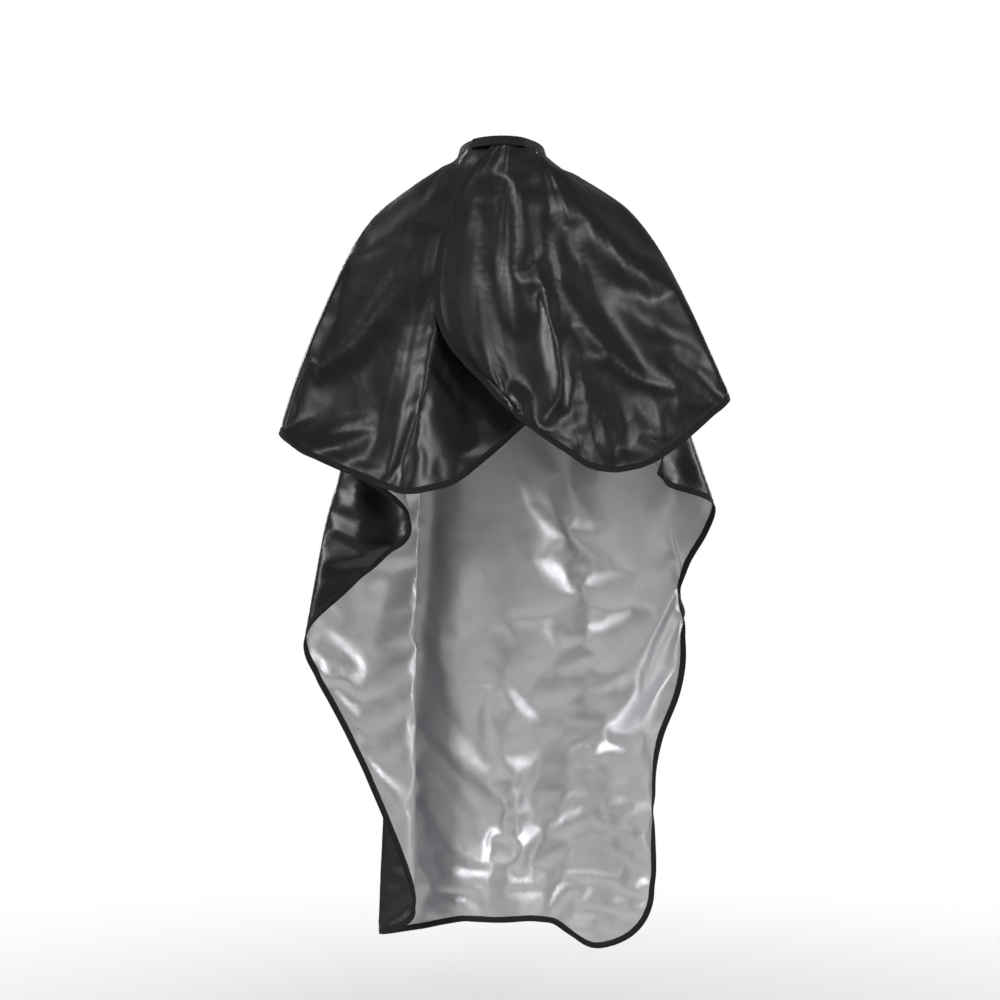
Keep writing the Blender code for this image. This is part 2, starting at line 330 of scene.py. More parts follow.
# The flat cut as a triangle mesh: its points and its triangles
def flatCloth():
    step = sheet["step"]
    last = len(spokes) - 1
    dense = np.linspace(0, last, sheet["outlinePoints"])
    hem = evenly(flatPoint(dense, np.ones(len(dense))), step)
    ring = evenly(flatPoint(dense, np.zeros(len(dense))), step / sheet["ringFiner"])
    down = np.linspace(0, 1, sheet["levels"])
    radial = []
    for at in (0, last, leftHingeAt, rightHingeAt):
        radial.append(evenly(flatPoint(np.full(len(down), float(at)), down), step))
    outline = np.concatenate([radial[0][:-1], hem[:-1], radial[1][::-1][:-1], ring[::-1][:-1]])
    points = [Vector(p) for p in outline]
    edges = [(k, (k + 1) % len(outline)) for k in range(len(outline))]
    for line in radial[2:]:
        start = len(points)
        points += [Vector(p) for p in line]
        edges += [(start + k, start + k + 1) for k in range(len(line) - 1)]
    fixed = np.array([p[:] for p in points])
    low, high = outline.min(0), outline.max(0)
    for row, y in enumerate(np.arange(low[1], high[1], step * math.sqrt(3) / 2)):
        for x in np.arange(low[0] + (row % 2) * step / 2, high[0], step):
            radius = math.hypot(x, y)
            spread = 0.5 * step * min(1.0, radius / sheet["finerWithin"])
            clear = ((fixed - (x, y)) ** 2).sum(1).min() > spread ** 2
            if clear and insideOutline(outline, x, y):
                points.append(Vector((x, y)))
    found, _, triangles, *_ = delaunay_2d_cdt(points, edges, [list(range(len(outline)))], 1, 1e-6)
    return np.array([p[:] for p in found]), np.array(triangles)


def insideOutline(outline, x, y):
    x0, y0 = outline[:, 0], outline[:, 1]
    x1, y1 = np.roll(x0, 1), np.roll(y0, 1)
    crossed = (y0 > y) != (y1 > y)
    where = (x1 - x0) * (y - y0) / (y1 - y0 + 1e-30) + x0
    return np.sum(crossed & (x < where)) % 2 == 1


# Spoke number, share of the way down and place in space for each flat point
def drapedPlaces(flat):
    angle = np.arctan2(flat[:, 0], flat[:, 1])
    along = np.interp(angle, spokeAngles, np.arange(len(spokes)))
    down = (np.linalg.norm(flat, axis=1) - sheet["ring"]) / lengthAt(along)
    return along, down, drapePoint(along, np.clip(down, 0, 1))


flat, triangles = flatCloth()
along, down, places = drapedPlaces(flat)
print("flat cut", len(flat), "points, size", np.ptp(flat, axis=0).round(3))


cloth = {
    "frames": 46,
    "quality": 8,
    "mass": 0.10,
    "stretch": 25.0,
    "shear": 14.0,
    "bend": 1.6,
    "drag": 3.0,
    "grow": -0.007,         # the cloth is a little larger than its smooth shape, so it creases
    "touch": 0.0025,
    "hold": 0.05,           # how firmly the drape is kept where nothing fixes it
    "holdFold": 0.35,       # along the outer folds and hems
    "firmFolds": (-122, 112, -90, 78, -139, -147, -157, 155),
    "foldWide": 0.8,        # how far the firmness reaches from a fold, a free edge and a hinge line,
    "edgeWide": 0.6,        # counted in spokes
    "hingeWide": 0.4,
    "holdHinge": 0.02,      # this near to a hinge line the cloth stays put
    "pinned": 0.004,        # share of the way down that the neckband holds
    "gather": 0.0022,       # height of the gathers at the neckband
    "gatherFrom": 0.02,     # they are full this far below it,
    "gatherReach": 0.22,    # run out here,
    "gatherClear": 0.5,     # and fade this near to a hinge line, in spokes
    "rub": 3.0,
    "touchQuality": 3,
}


# How many spokes away the nearer hinge line is
def fromHinges(along):
    return np.minimum(np.abs(along - leftHingeAt), np.abs(along - rightHingeAt))


# Small gathers below the neckband
def gathered(places, along, down):
    angle = np.interp(along, np.arange(len(spokes)), spokeAngles)
    # Two waves of different lengths, so that no two gathers are alike
    wave = np.sin(angle * 31 + 1.3 * np.sin(angle * 7)) * 0.7 + np.sin(angle * 53 + 2.0) * 0.3
    reach = down * lengthAt(along)
    size = cloth["gather"] * np.clip(reach / cloth["gatherFrom"], 0, 1)
    size *= np.clip(1 - reach / cloth["gatherReach"], 0, 1)
    size *= np.clip(fromHinges(along) / cloth["gatherClear"], 0, 1)
    normals = pointNormals(places, triangles)
    return places + normals * (wave * size)[:, None]


# Area-weighted normals of a triangle mesh
def pointNormals(points, faces):
    a, b, c = points[faces[:, 0]], points[faces[:, 1]], points[faces[:, 2]]
    sums = np.zeros_like(points)
    weights = np.cross(b - a, c - a)
    for corner in range(3):
        np.add.at(sums, faces[:, corner], weights)
    return sums / np.maximum(np.linalg.norm(sums, axis=1), 1e-12)[:, None]


# 1 at the neckband and the hinge lines, firm on the folds and edges that set the outline, else weak
def holdWeights(along, down):
    weights = np.full(len(along), cloth["hold"])
    angles = np.array([angle for angle, _ in spokes])
    firm = np.clip((down - 0.9) / 0.1, 0, 1)
    for angle in cloth["firmFolds"]:
        for number in np.flatnonzero(np.abs(angles - angle) < 5):
            near = np.clip(1 - np.abs(along - number) / cloth["foldWide"], 0, 1)
            firm = np.maximum(firm, near * np.clip((down - 0.3) / 0.5, 0, 1))
    edge = np.minimum(along, len(spokes) - 1 - along)
    firm = np.maximum(firm, np.clip(1 - edge / cloth["edgeWide"], 0, 1))
    firm = np.maximum(firm, np.clip(1 - fromHinges(along) / cloth["hingeWide"], 0, 1))
    weights = np.maximum(weights, cloth["holdFold"] * firm)
    weights[fromHinges(along) < cloth["holdHinge"]] = 1.0
    weights[down < cloth["pinned"]] = 1.0
    return weights


# The cloth after it has hung and creased
def hung(places, weights):
    mesh = bpy.data.meshes.new("hanging")
    mesh.from_pydata(places.tolist(), [], triangles.tolist())
    hanging = bpy.data.objects.new("hanging", mesh)
    scene.collection.objects.link(hanging)
    group = hanging.vertex_groups.new(name="hold")
    for index, weight in enumerate(weights):
        group.add([index], float(weight), "REPLACE")
    modifier = hanging.modifiers.new("cloth", "CLOTH")
    settings = modifier.settings
    settings.quality = cloth["quality"]
    settings.mass = cloth["mass"]
    settings.tension_stiffness = settings.compression_stiffness = cloth["stretch"]
    settings.shear_stiffness = cloth["shear"]
    settings.bending_stiffness = cloth["bend"]
    settings.air_damping = cloth["drag"]
    settings.shrink_min = cloth["grow"]
    settings.vertex_group_mass = "hold"
    contact = modifier.collision_settings
    contact.use_collision = False
    contact.use_self_collision = True
    contact.self_distance_min = cloth["touch"]
    contact.self_friction = cloth["rub"]
    contact.collision_quality = cloth["touchQuality"]
    modifier.point_cache.frame_start = 1
    modifier.point_cache.frame_end = cloth["frames"]
    for number in range(1, cloth["frames"] + 1):
        scene.frame_set(number)
    shape = hanging.evaluated_get(bpy.context.evaluated_depsgraph_get()).data
    result = np.empty(len(places) * 3)
    shape.vertices.foreach_get("co", result)
    scene.frame_set(1)
    bpy.data.objects.remove(hanging)
    bpy.data.meshes.remove(mesh)
    return result.reshape(-1, 3)


places = gathered(places, along, down)
places = hung(places, holdWeights(along, down))
print("cloth hung, box", places.min(0).round(3), places.max(0).round(3))


# The finer mesh that every visible piece of cloth is cut from
shell = {
    "thick": 0.0005,
    "ringReach": 0.0025,    # how near the neck ring a point counts as on it
}


# The hung cloth once subdivided: points, quads, part of each quad, flat place of each point
def refined(places):
    mesh = bpy.data.meshes.new("refining")
    mesh.from_pydata(places.tolist(), [], triangles.tolist())
    part = mesh.attributes.new("part", "INT", "FACE")
    flatPlace = mesh.attributes.new("flatPlace", "FLOAT_VECTOR", "POINT")
    middle = flat[triangles].mean(1)
    angle = np.arctan2(middle[:, 0], middle[:, 1])
    sides = np.where(angle < spokeAngles[leftHingeAt], 1, 0)
    sides = np.where(angle > spokeAngles[rightHingeAt], 2, sides)
    part.data.foreach_set("value", sides.astype(np.int32))
    flatPlace.data.foreach_set("vector", np.pad(flat, ((0, 0), (0, 1))).ravel())
    item = bpy.data.objects.new("refining", mesh)
    scene.collection.objects.link(item)
    modifier = item.modifiers.new("smooth", "SUBSURF")
    modifier.levels = modifier.render_levels = 1
    view = bpy.context.evaluated_depsgraph_get()
    fine = bpy.data.meshes.new_from_object(item.evaluated_get(view))
    count = len(fine.vertices)
    points = np.empty(count * 3)
    fine.vertices.foreach_get("co", points)
    spread = np.empty(count * 3)
    fine.attributes["flatPlace"].data.foreach_get("vector", spread)
    sides = np.empty(len(fine.polygons), np.int32)
    fine.attributes["part"].data.foreach_get("value", sides)
    quads = np.empty(len(fine.polygons) * 4, np.int32)
    fine.polygons.foreach_get("vertices", quads)
    bpy.data.objects.remove(item)
    bpy.data.meshes.remove(mesh)
    bpy.data.meshes.remove(fine)
    return points.reshape(-1, 3), quads.reshape(-1, 4), sides, spread.reshape(-1, 3)[:, :2]


points, quads, sides, flatOf = refined(places)


# Area-weighted normals of the fine mesh, outward on the front panel, and whether they were turned
def outwardNormals(points, quads):
    a, b, c, d = (points[quads[:, k]] for k in range(4))
    weights = np.cross(c - a, d - b)
    sums = np.zeros_like(points)
    for corner in range(4):
        np.add.at(sums, quads[:, corner], weights)
    normals = sums / np.maximum(np.linalg.norm(sums, axis=1), 1e-12)[:, None]
    front = (flatOf[:, 1] > 0.6) & (np.abs(flatOf[:, 0]) < 0.1)
    return (normals, 1) if normals[front, 1].mean() > 0 else (-normals, -1)


normals, turned = outwardNormals(points, quads)
if turned < 0:
    quads = quads[:, ::-1]


# A mesh object, with the material of each face, its UV layers and its own normals where given
def meshObject(name, vertices, faces, materials, kinds=None, uvs=None, loopNormals=None, polars=None):
    mesh = bpy.data.meshes.new(name)
    mesh.from_pydata([tuple(v) for v in vertices], [], [tuple(int(k) for k in f) for f in faces])
    for material in materials:
        mesh.materials.append(material)
    if kinds is not None:
        mesh.polygons.foreach_set("material_index", np.asarray(kinds, np.int32))
    mesh.shade_smooth()
    if polars is not None:
        layer = mesh.uv_layers.new(name="polar")
        layer.data.foreach_set("uv", np.asarray(polars, np.float32).ravel())
    if uvs is not None:
        layer = mesh.uv_layers.new(name="flat")
        layer.data.foreach_set("uv", np.asarray(uvs, np.float32).ravel())
    if loopNormals is not None:
        mesh.normals_split_custom_set([tuple(n) for n in loopNormals])
    item = bpy.data.objects.new(name, mesh)
    scene.collection.objects.link(item)
    return item


# Directed edges with only one face
def borderEdges(faces):
    edges = {}
    for face in faces:
        for k in range(len(face)):
            edges[(int(face[k]), int(face[(k + 1) % len(face)]))] = True
    return [edge for edge in edges if (edge[1], edge[0]) not in edges]


# A closed shell of one stretch of cloth, black outside and silver inside
def clothShell(name, side, materials):
    faces = quads[sides == side]
    used, local = np.unique(faces, return_inverse=True)
    local = local.reshape(-1, 4)
    count = len(used)
    half = shell["thick"] / 2
    lift = normals[used] * half
    vertices = np.concatenate([points[used] + lift, points[used] - lift])
    borders = borderEdges(local)
    walls = [(b, a, a + count, b + count) for a, b in borders]
    inner = local[:, [0, 3, 2, 1]] + count      # both layers' squares fold along the same diagonal
    allFaces = [tuple(f) for f in local] + [tuple(f) for f in inner] + walls
    kinds = [0] * len(local) + [1] * len(local) + [0] * len(walls)
    own = np.concatenate([normals[used], -normals[used]])
    spread = np.concatenate([flatOf[used], flatOf[used]])
    loops = np.concatenate([local.ravel(), inner.ravel(), np.array(walls).ravel()])
    loopNormals = own[loops]
    start = len(local) * 8
    for number, wall in enumerate(walls):
        a, b, c, d = (vertices[k] for k in wall)
        across = np.cross(c - a, d - b)
        first = start + number * 4
        loopNormals[first:first + 4] = across / (np.linalg.norm(across) + 1e-12)
    polar = np.stack([np.arctan2(spread[:, 0], spread[:, 1]), np.linalg.norm(spread, axis=1)], 1)
    item = meshObject(name, vertices, allFaces, materials, kinds,
                      spread[loops], loopNormals, polar[loops])
    item["across"], item["layered"] = 2, True
    return item


# The cloth's border below the neckband, from the left end's top round to the right end's top
def outline():
    following = dict(borderEdges(quads))
    radius = np.linalg.norm(flatOf, axis=1)
    onRing = radius < sheet["ring"] + shell["ringReach"]
    start = [a for a, b in following.items() if onRing[a] and not onRing[b]][0]
    chain = [start]
    while len(chain) < 2 or not onRing[chain[-1]]:
        chain.append(following[chain[-1]])
    angle = np.arctan2(flatOf[chain[1], 0], flatOf[chain[1], 1])
    return chain if angle < 0 else chain[::-1]


edgeChain = np.array(outline())


# Where on the border a spoke meets the hem
def hemPlace(number):
    end = flatPoint(np.array([float(number)]), np.ones(1))[0]
    return int(np.argmin(np.linalg.norm(flatOf[edgeChain] - end, axis=1)))


hemKeys = [hemPlace(number) for number in (0, leftHingeAt, rightHingeAt, len(spokes) - 1)]
keys = [0] + hemKeys + [len(edgeChain) - 1]
print("border", len(edgeChain), "points, corners at", keys)

flatBorder = {
    "full": 0.009,          # the cloth is flat this near its border
    "none": 0.024,          # and hangs free from here
    "near": 7,
    "blur": 0.006,
    "passes": 3,
}


# A line evened out between its two ends
def evened(line):
    line = line.copy()
    for _ in range(flatBorder["passes"]):
        line[1:-1] = line[1:-1] * 0.5 + (line[:-2] + line[2:]) * 0.25
    return line


# Evens out the cloth's border between its corners, so that the tape and the cloth agree
def settleBorder():
    for first, last in zip(keys[:-1], keys[1:]):
        index = edgeChain[first:last + 1]
        points[index] = evened(points[index])


# Lays the cloth next to its border flat, as the stiff binding holds it there
def flattenBorder(normals):
    tree = KDTree(len(edgeChain))
    for number, index in enumerate(edgeChain):
        tree.insert((*flatOf[index], 0.0), number)
    tree.balance()
    border = set(edgeChain.tolist())
    lines = points[edgeChain].copy()
    width = flatBorder["none"] - flatBorder["full"]
    for index in range(len(points)):
        near = tree.find_n((*flatOf[index], 0.0), flatBorder["near"])
        share = min(max((flatBorder["none"] - near[0][2]) / width, 0.0), 1.0)
        if index in border or share <= 0:
            continue
        chosen = [number for _, number, _ in near]
        weights = np.array([1 / (away * away + flatBorder["blur"] ** 2) for _, _, away in near])
        weights /= weights.sum()
        normal = weights @ normals[edgeChain[chosen]]
        height = (points[index] - weights @ lines[chosen]) @ normal / (normal @ normal)
        points[index] -= normal * height * share * share * (3 - 2 * share)


settleBorder()
flattenBorder(outwardNormals(points, quads)[0])
normals = outwardNormals(points, quads)[0]

binding = {
    "step": 0.005,
    "inside": 0.0070,       # from the cloth's cut edge inward
    "outside": 0.0022,
    "half": 0.00095,        # half its thickness
    "row": 0.0056,          # the stitch row, from the cut edge inward
    "pucker": 0.0002,
}


def unit(vectors):
    return vectors / np.linalg.norm(vectors, axis=1)[:, None]


# The border in five resampled runs: place and outward normal of each point
def stretches():
    runs = []
    for first, last in zip(keys[:-1], keys[1:]):
        index = edgeChain[first:last + 1]
        lengths = lengthsAlong(points[index])
        even = np.linspace(0, lengths[-1], max(4, round(lengths[-1] / binding["step"])) + 1)
        place = readAt(even, lengths, points[index])
        normal = readAt(even, lengths, evened(normals[index]))
        runs.append((place, unit(normal)))
    return runs


# One path round the border, with mitred inward directions, and where its runs join
def bordered():
    runs = stretches()
    place = np.concatenate([runs[0][0]] + [run[0][1:] for run in runs[1:]])
    normal = np.concatenate([runs[0][1]] + [run[1][1:] for run in runs[1:]])
    joins = np.cumsum([0] + [len(run[0]) - 1 for run in runs])
    steps = unit(np.diff(place, axis=0))
    first = unit(np.cross(normal, np.concatenate([steps[:1], steps])))
    second = unit(np.cross(normal, np.concatenate([steps, steps[-1:]])))
    inward = (first + second) / np.maximum(1 + (first * second).sum(1), 0.7)[:, None]
    middle = edgeChain[(keys[2] + keys[3]) // 2]
    near = quads[(quads == middle).any(1)].ravel()
    at = int(np.argmin(np.linalg.norm(place - points[middle], axis=1)))
    if (points[near].mean(0) - points[middle]) @ inward[at] < 0:
        inward = -inward
    return place, normal, inward, joins


edgePlace, edgeNormal, edgeInward, edgeJoins = bordered()


# A closed strip along a path; each section point is (across, off the cloth), all the way round
def sweep(name, place, normal, inward, section, material, lengthFrom=0.0):
    section = np.asarray(section)
    if section.ndim == 2:
        section = np.repeat(section[None], len(place), 0)
    around = section.shape[1]
    offset = inward[:, None] * section[:, :, :1] + normal[:, None] * section[:, :, 1:]
    vertices = (place[:, None] + offset).reshape(-1, 3)
    faces, uvs = [], []
    lengths = lengthFrom + lengthsAlong(place)
    rim = lengthsAlong(np.concatenate([section[0], section[0][:1]]))
    for row in range(len(place) - 1):
        for k in range(around):
            a, b = row * around + k, row * around + (k + 1) % around
            faces.append((a, b, b + around, a + around))
            uvs += [(lengths[row], rim[k]), (lengths[row], rim[k + 1])]
            uvs += [(lengths[row + 1], rim[k + 1]), (lengths[row + 1], rim[k])]
    last = (len(place) - 1) * around
    faces.append(tuple(range(around))[::-1])
    faces.append(tuple(last + k for k in range(around)))
    uvs += [(lengths[0], 0.0)] * around + [(lengths[-1], 0.0)] * around
    item = meshObject(name, vertices, faces, [material], uvs=uvs)
    check = bmesh.new()
    check.from_mesh(item.data)
    if check.calc_volume(signed=True) < 0:
        item.data.flip_normals()
    check.free()
    item["across"], item["layered"] = around, False
    return item


# A flat rounded section from low to high across, half thick each way
def flatTube(low, high, half, rounding=0.6):
    edge = half * rounding
    under = [(low, -half + edge), (low + edge, -half), (high - edge, -half), (high, -half + edge)]
    over = [(high, half - edge), (high - edge, half), (low + edge, half), (low, half - edge)]
    return np.array(under + over)


# The folded tape from one border join to another
def bindingStrip(name, first, last, material):
    chosen = slice(first, last + 1)
    at = np.arange(first, last + 1)
    tube = flatTube(-binding["outside"], binding["inside"], binding["half"])
    section = np.repeat(tube[None], len(at), 0)
    wave = np.sin(at * 1.9) * 0.6 + np.sin(at * 0.83 + 1) * 0.4
    section[:, 2:6, 0] += (wave * binding["pucker"])[:, None]
    section[:, 4:, 1] += (np.abs(wave) * binding["pucker"] * 0.5)[:, None]
    return sweep(name, edgePlace[chosen], edgeNormal[chosen], edgeInward[chosen],
                 section, material, first * binding["step"])


# The two rows of stitches on a run of binding, one on each face
def stitchLines(first, last):
    chosen = slice(first, last + 1)
    lines = []
    for face in (1, -1):
        facing = edgeNormal[chosen] * face
        row = edgePlace[chosen] + edgeInward[chosen] * binding["row"]
        lines.append((row + facing * (binding["half"] + stitch["lift"]), facing))
    return lines


# Materials

# A colour between two: sockets 6 and 7 are the mix node's colours
def mixed(finish, factor, first, second):
    values = {"Factor": factor, 6: first, 7: second}
    return finish.node("ShaderNodeMix", {"data_type": "RGBA"}, values, 2)


# The cloth's place in the flat cut, in metres
def flatWire(finish):
    return finish.node("ShaderNodeUVMap", {"uv_map": "flat"})


def objectWire(finish):
    return finish.node("ShaderNodeTexCoord", {}, (), 3)


def noiseWire(finish, place, scale, detail=2.0, distortion=0.0):
    values = {"Vector": place, "Scale": scale, "Detail": detail, "Distortion": distortion}
    return finish.node("ShaderNodeTexNoise", {}, values)


def grey(level):
    return (level, level, level, 1.0)


def ranged(finish, value, low, high, toLow, toHigh):
    return finish.node("ShaderNodeMapRange", {}, [value, low, high, toLow, toHigh])


# Warp and weft as two crossing waves, 0 to 1
def threads(finish, place, pitch):
    parts = finish.node("ShaderNodeSeparateXYZ", {}, [place])
    across = Wire(finish, parts.socket.node.outputs["Y"])
    turn = 2 * math.pi / pitch
    warp = finish.node("ShaderNodeMath", {"operation": "SINE"}, [parts * turn])
    weft = finish.node("ShaderNodeMath", {"operation": "SINE"}, [across * turn])
    return (warp * weft) * 0.5 + 0.5


crinkle = {
    "facets": 11.0,         # creased facets per metre
    "facetHeight": 0.0020,
    "small": 29.0,
    "smallHeight": 0.0006,
    "rays": 8.0,            # soft folds running down from the neckband, per radian
    "rayLength": 2.6,       # and how often they change on the way down, per metre
    "rayHeight": 0.0042,
    "warp": 1.1,
    "warpScale": 0.45,
    "weave": 0.0009,
    "weaveHeight": 0.000012,
}


# Crumpled facets: cells whose borders are creases, 0 to 1
def facets(finish, place, scale):
    noise = {"Vector": place, "Scale": scale * crinkle["warpScale"], "Detail": 1.0}
    shift = finish.node("ShaderNodeTexNoise", {}, noise, 1)
    reach = (crinkle["warp"] / scale,) * 3
    warped = finish.node("ShaderNodeVectorMath", {"operation": "MULTIPLY_ADD"}, [shift, reach, place])
    cells = {"Vector": warped, "Scale": scale, "Randomness": 1.0}
    return finish.node("ShaderNodeTexVoronoi", {"feature": "F1"}, cells)


# Creases of a stiff coated taffeta, in metres
def crinkleHeight(finish, place):
    polar = finish.node("ShaderNodeUVMap", {"uv_map": "polar"})
    stretch = (crinkle["rays"], crinkle["rayLength"], 1.0)
    stretched = finish.node("ShaderNodeVectorMath", {"operation": "MULTIPLY"}, [polar, stretch])
    rays = noiseWire(finish, stretched, 1.0, 1.6, 0.35)
    wide = facets(finish, place, crinkle["facets"]) * crinkle["facetHeight"]
    small = facets(finish, place, crinkle["small"]) * crinkle["smallHeight"]
    where = ranged(finish, noiseWire(finish, place, 2.7, 1.5), 0.40, 0.62, 0.12, 1.0)
    return (wide + small) * where + rays * crinkle["rayHeight"]


def bumpFrom(finish, height):
    return finish.node("ShaderNodeBump", {}, {"Strength": 1.0, "Distance": 1.0, "Height": height})


taffetaLook = {
    "dark": (0.0035, 0.0035, 0.0040, 1.0),
    "light": (0.0060, 0.0060, 0.0070, 1.0),
    "cloud": 5.0,
    "roughness": (0.27, 0.35),
    "weaveRoughness": 0.03,
    "specular": 0.55,
}


# Black outer face of the cloth
def taffeta():
    finish = Finish("black_taffeta")
    place = flatWire(finish)
    weave = threads(finish, place, crinkle["weave"])
    height = crinkleHeight(finish, place) + weave * crinkle["weaveHeight"]
    cloud = ranged(finish, noiseWire(finish, place, taffetaLook["cloud"], 3.0), 0.3, 0.7, 0.0, 1.0)
    color = mixed(finish, cloud, taffetaLook["dark"], taffetaLook["light"])
    worn = ranged(finish, noiseWire(finish, place, 26.0, 3.0), 0.3, 0.7, *taffetaLook["roughness"])
    return finish.shade(Base_Color=color, Roughness=worn + weave * taffetaLook["weaveRoughness"],
                        Normal=bumpFrom(finish, height), Specular_IOR_Level=taffetaLook["specular"])


silverLook = {
    "dark": (0.52, 0.525, 0.54, 1.0),
    "light": (0.62, 0.625, 0.64, 1.0),
    "cloud": 7.0,
    "roughness": (0.40, 0.50),
    "metallic": 0.8,
}


# Silver coating on the cloth's inner face
def silver():
    finish = Finish("silver_coating")
    place = flatWire(finish)
    weave = threads(finish, place, crinkle["weave"])
    height = crinkleHeight(finish, place) + weave * crinkle["weaveHeight"]
    cloud = ranged(finish, noiseWire(finish, place, silverLook["cloud"], 4.0), 0.3, 0.7, 0.0, 1.0)
    color = mixed(finish, cloud, silverLook["dark"], silverLook["light"])
    rubbed = ranged(finish, noiseWire(finish, place, 40.0, 4.0), 0.35, 0.65, *silverLook["roughness"])
    return finish.shade(Base_Color=color, Metallic=silverLook["metallic"], Roughness=rubbed,
                        Normal=bumpFrom(finish, height))


tapeLook = {
    "dark": (0.0030, 0.0030, 0.0035, 1.0),
    "light": (0.0110, 0.0110, 0.0120, 1.0),
    "rib": 0.0011,
    "ribHeight": 0.00008,
    "fuzzHeight": 0.00004,
    "roughness": 0.6,
    "specular": 0.3,
}


# Woven binding: fine ribs across the tape
def bindingTape():
    finish = Finish("binding_tape")
    place = flatWire(finish)
    weave = threads(finish, place, tapeLook["rib"])
    fuzz = noiseWire(finish, place, 900.0, 2.0)
    color = mixed(finish, weave * 0.6 + fuzz * 0.4, tapeLook["dark"], tapeLook["light"])
    height = weave * tapeLook["ribHeight"] + fuzz * tapeLook["fuzzHeight"]
    return finish.shade(Base_Color=color, Roughness=tapeLook["roughness"] + fuzz * 0.15,
                        Normal=bumpFrom(finish, height), Specular_IOR_Level=tapeLook["specular"])


threadLook = {
    "dark": (0.009, 0.009, 0.010, 1.0),
    "light": (0.026, 0.026, 0.028, 1.0),
    "twistHeight": 0.00006,
    "roughness": 0.48,
}


# Spun sewing thread: a twist along each stitch
def thread():
    finish = Finish("thread")
    place = objectWire(finish)
    twist = noiseWire(finish, place, 1400.0, 2.0)
    color = mixed(finish, twist, threadLook["dark"], threadLook["light"])
    bump = bumpFrom(finish, twist * threadLook["twistHeight"])
    return finish.shade(Base_Color=color, Roughness=threadLook["roughness"], Normal=bump)


# Backing and pile of the hook or loop tape, between two greys
def closureTape(name, dark, light, roughness):
    finish = Finish(name)
    tuft = noiseWire(finish, objectWire(finish), 1100.0, 3.0)
    color = mixed(finish, tuft, grey(dark), grey(light))
    return finish.shade(Base_Color=color, Roughness=roughness, Normal=bumpFrom(finish, tuft * 0.00015))


blackCloth = taffeta()
silverCloth = silver()
tapeCloth = bindingTape()
threadBlack = thread()
hookNylon = closureTape("hook_nylon", 0.012, 0.03, 0.42)
loopPile = closureTape("loop_pile", 0.010, 0.035, 0.85)
print("materials made")


# Stitches: geometry nodes set one at each step along a line
stitch = {
    "size": (0.0031, 0.00048, 0.00034),
    "pitch": 0.0045,
    "jitter": 0.05,
    "lift": 0.0001,         # how far each row lies off the tape
}


# A geometry node group and the one way its nodes are added
class Growth:
    def __init__(self, name, inputs):
        self.tree = bpy.data.node_groups.new(name, "GeometryNodeTree")
        self.tree.interface.new_socket("Geometry", in_out="INPUT", socket_type="NodeSocketGeometry")
        self.keys = {}
        for label, kind in inputs.items():
            socket = self.tree.interface.new_socket(label, in_out="INPUT", socket_type=kind)
            self.keys[label] = socket.identifier
        self.tree.interface.new_socket("Geometry", in_out="OUTPUT", socket_type="NodeSocketGeometry")
        self.entry = self.tree.nodes.new("NodeGroupInput")
        self.exit = self.tree.nodes.new("NodeGroupOutput")

    def given(self, label):
        return self.entry.outputs[label]

    def node(self, kind, settings=None, values=None, out=0):
        node = self.tree.nodes.new(kind)
        for key, value in (settings or {}).items():
            setattr(node, key, value)
        for key, value in (values or {}).items():
            if isinstance(value, bpy.types.NodeSocket):
                self.tree.links.new(value, node.inputs[key])
            else:
                node.inputs[key].default_value = value
        return node.outputs[out]

    # A plain mesh of what the group makes from item, which is removed
    def grown(self, name, item, values):
        modifier = item.modifiers.new("grow", "NODES")
        modifier.node_group = self.tree
        for label, value in values.items():
            modifier[self.keys[label]] = value
        view = bpy.context.evaluated_depsgraph_get()
        made = bpy.data.meshes.new_from_object(item.evaluated_get(view))
        made.name = name
        bpy.data.objects.remove(item)
        result = bpy.data.objects.new(name, made)
        scene.collection.objects.link(result)
        made.shade_smooth()
        return result


# One thread stitch at each pitch along the lines, lying in the cloth's surface
def stitchGroup():
    inputs = {"Pitch": "NodeSocketFloat", "Seed": "NodeSocketInt", "Thread": "NodeSocketMaterial"}
    group = Growth("stitches", inputs)
    line = group.node("GeometryNodeMeshToCurve", {}, {0: group.given("Geometry")})
    spaced = group.node("GeometryNodeResampleCurve", {"mode": "LENGTH"},
                        {"Curve": line, "Length": group.given("Pitch")})
    face = group.node("GeometryNodeInputNamedAttribute", {"data_type": "FLOAT_VECTOR"}, {"Name": "face"})
    along = group.node("GeometryNodeInputTangent")
    turned = group.node("FunctionNodeAxesToRotation", {"primary_axis": "X", "secondary_axis": "Z"},
                        {"Primary Axis": along, "Secondary Axis": face})
    least = (0, 0, -stitch["jitter"])
    most = (0, 0, stitch["jitter"])
    jitter = group.node("FunctionNodeRandomValue", {"data_type": "FLOAT_VECTOR"},
                        {0: least, 1: most, "Seed": group.given("Seed")})
    turned = group.node("FunctionNodeRotateRotation", {"rotation_space": "LOCAL"}, {0: turned, 1: jitter})
    bead = group.node("GeometryNodeMeshUVSphere", {}, {"Segments": 6, "Rings": 5, "Radius": 0.5})
    bead = group.node("GeometryNodeTransform", {}, {"Geometry": bead, "Scale": stitch["size"]})
    each = group.node("GeometryNodeInstanceOnPoints", {},
                      {"Points": spaced, "Instance": bead, "Rotation": turned})
    solid = group.node("GeometryNodeRealizeInstances", {}, {0: each})
    final = group.node("GeometryNodeSetMaterial", {},
                       {"Geometry": solid, "Material": group.given("Thread")})
    group.tree.links.new(final, group.exit.inputs[0])
    return group


stitchMaker = stitchGroup()


